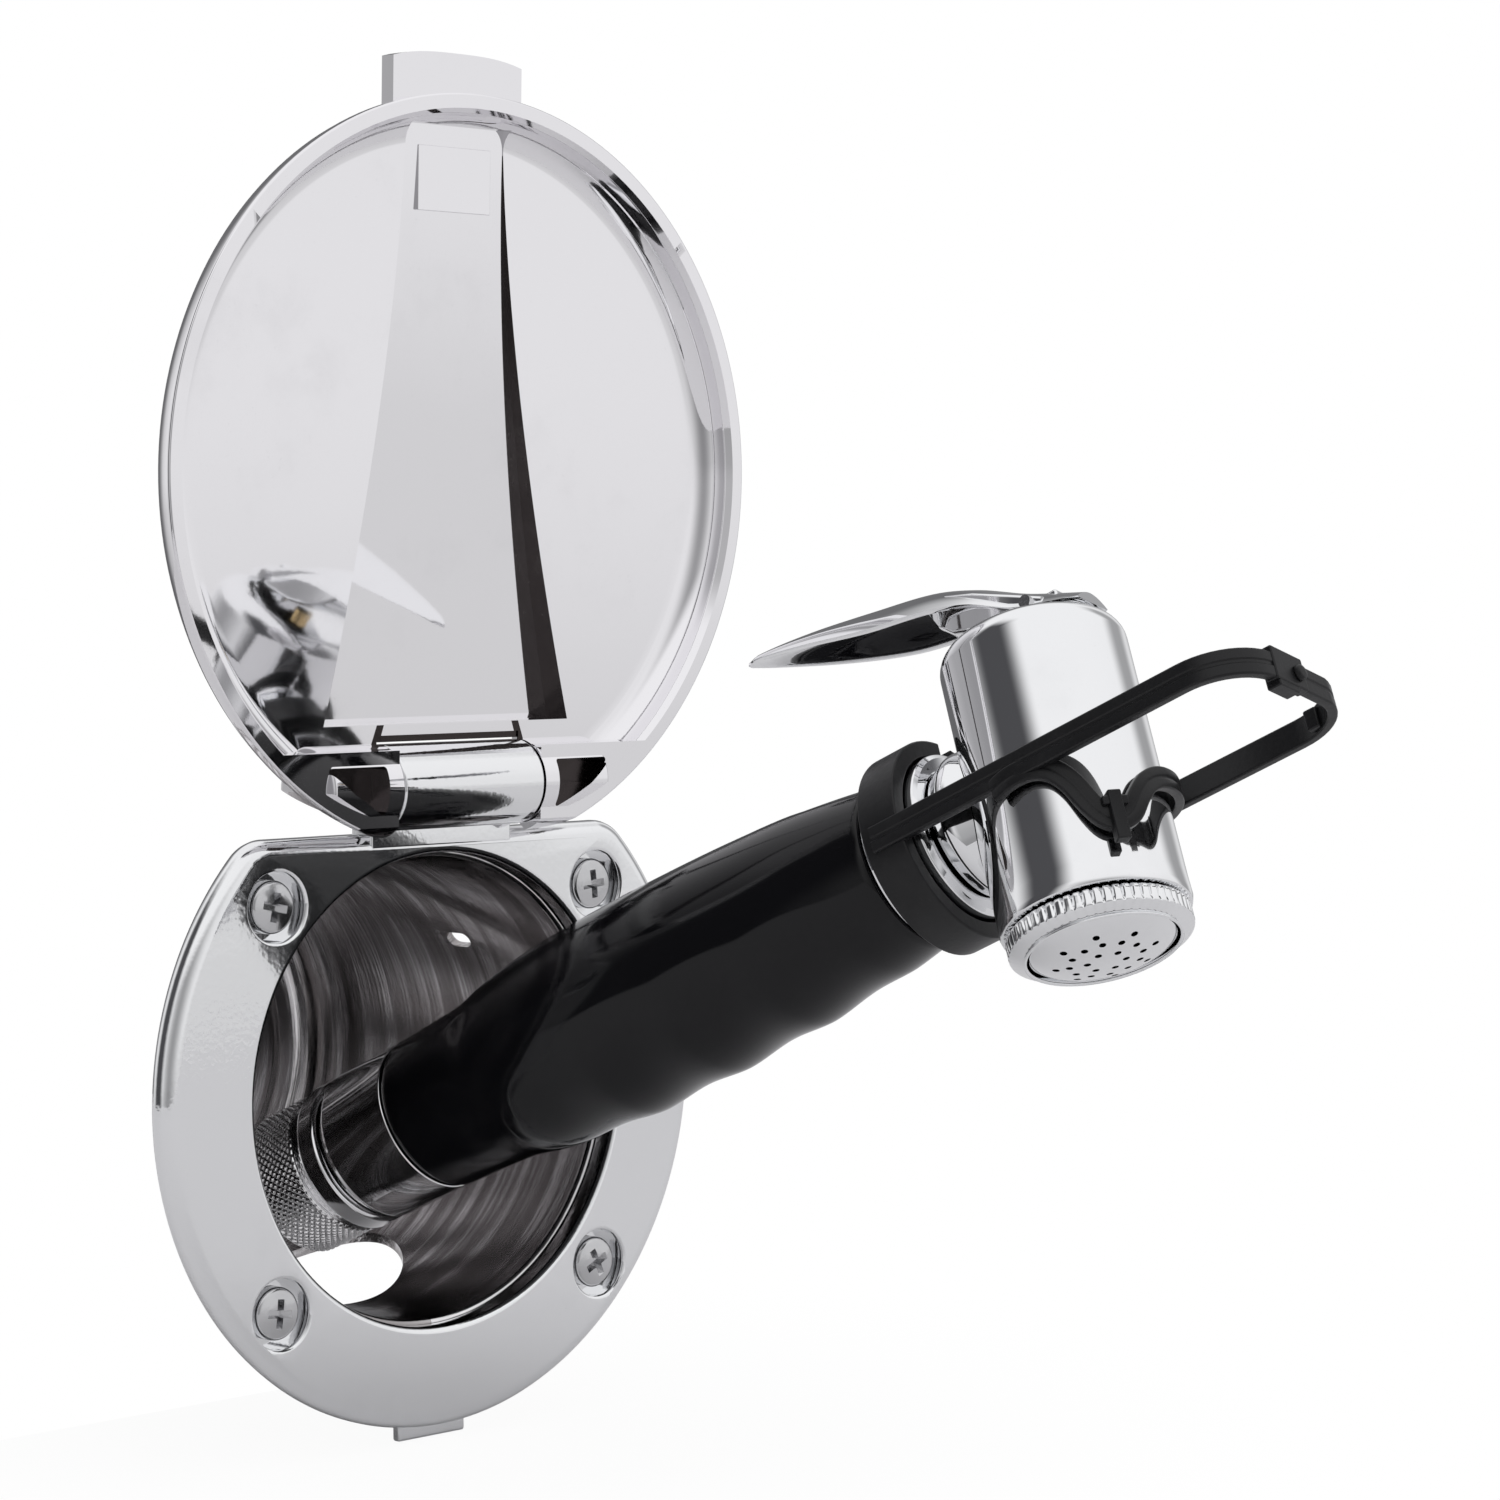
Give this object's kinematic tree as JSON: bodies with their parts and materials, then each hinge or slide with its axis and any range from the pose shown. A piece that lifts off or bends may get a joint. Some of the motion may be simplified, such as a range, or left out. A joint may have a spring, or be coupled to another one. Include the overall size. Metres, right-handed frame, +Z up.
{
  "type": "recessed transom shower",
  "caption": "Recessed boat transom shower: a round flanged cup with a hinged lid, holding a trigger hand sprayer with a domed spray face and a retaining clip.",
  "frame": {"origin": "centre of the round cut-out in the transom, on the face that the flange's gasket meets", "axes": "+Y into the transom along the cup's axis, -Y outboard, +Z up, +X to the right as seen from outboard"},
  "size_m": [0.1374, 0.2595, 0.2541],
  "materials": {
    "flange_chrome": "polished chrome plate with a very slight cast ripple",
    "cup_steel": "bright spun sheet with fine streaks round the cup",
    "gasket_rubber": "matt black sheet rubber",
    "screw_steel": "bright stainless",
    "lid_chrome": "polished chrome plate",
    "sprayer_chrome": "polished chrome plate",
    "nut_steel": "dark bright knurled metal",
    "inner_brass": "plain turned brass",
    "inner_rubber": "black seal rubber",
    "spring_steel": "plain spring wire",
    "grip_black": "smooth glossy black",
    "clip_black": "satin black moulding"
  },
  "bodies": {
    "housing": {"flange_housing": "flange_chrome", "cup": "cup_steel", "flange_gasket": "gasket_rubber", "screw_top_left": "screw_steel", "screw_top_right": "screw_steel", "screw_bottom_left": "screw_steel", "screw_bottom_right": "screw_steel", "hinge_pin": "screw_steel"},
    "lid_body": {"lid": "lid_chrome", "latch_pad": "lid_chrome"},
    "sprayer": {"inlet_spigot": "inner_brass", "collar": "sprayer_chrome", "grip": "grip_black", "water_tube": "inner_brass", "end_ring": "sprayer_chrome", "neck": "sprayer_chrome", "head_body": "sprayer_chrome", "valve_seat": "inner_brass", "stem_seal": "inner_rubber", "return_spring": "spring_steel", "flow_disc": "inner_brass", "lever_pin": "screw_steel"},
    "nut": {"hose_nut": "nut_steel", "hose_washer": "inner_rubber"},
    "lever_body": {"lever": "sprayer_chrome"},
    "stem": {"valve_stem": "inner_brass", "valve_washer": "inner_rubber"},
    "nozzle": {"nozzle_ring": "sprayer_chrome", "nozzle_gasket": "inner_rubber", "spray_face": "sprayer_chrome"},
    "clip_body": {"clip": "clip_black", "clip_pin": "clip_black"}
  },
  "joints": [
    {"name": "lid_hinge", "type": "hinge", "parent": "housing", "child": "lid_body", "pos_m": [0, -0.01, 0.0563], "axis": [1, 0, 0], "range_deg": [0, 178]},
    {"name": "sprayer_slide", "type": "slide", "parent": "housing", "child": "sprayer", "axis": [0.1815, -0.8842, 0.4305], "range_m": [0, 0.509]},
    {"name": "hose_nut_swivel", "type": "hinge", "parent": "sprayer", "child": "nut", "pos_m": [0.00596, 0.03453, -0.01962], "axis": [0.1815, -0.8842, 0.4305], "continuous": true},
    {"name": "lever_press", "type": "hinge", "parent": "sprayer", "child": "lever_body", "pos_m": [0.04645, -0.11513, 0.08686], "axis": [0.9584, 0.0609, -0.2789], "range_deg": [-8, 0], "stiffness_Nm_per_rad": 1.5, "springref_deg": 5.73},
    {"name": "valve_stem_slide", "type": "slide", "parent": "sprayer", "child": "stem", "axis": [0.2204, 0.4632, 0.8584], "range_m": [-0.0013, 0]},
    {"name": "nozzle_turn", "type": "hinge", "parent": "sprayer", "child": "nozzle", "pos_m": [0.03862, -0.12462, 0.05788], "axis": [0.2204, 0.4632, 0.8584], "continuous": true},
    {"name": "clip_turn", "type": "hinge", "parent": "sprayer", "child": "clip_body", "pos_m": [0.0339, -0.10164, 0.04668], "axis": [0.1815, -0.8842, 0.4305], "range_deg": [-3, 3]}
  ],
  "couplings": [
    {"joint": "lid_hinge", "follows": "sprayer_slide", "rad_per_m": 6.1},
    {"joint": "valve_stem_slide", "follows": "lever_press", "m_per_rad": 0.009}
  ]
}
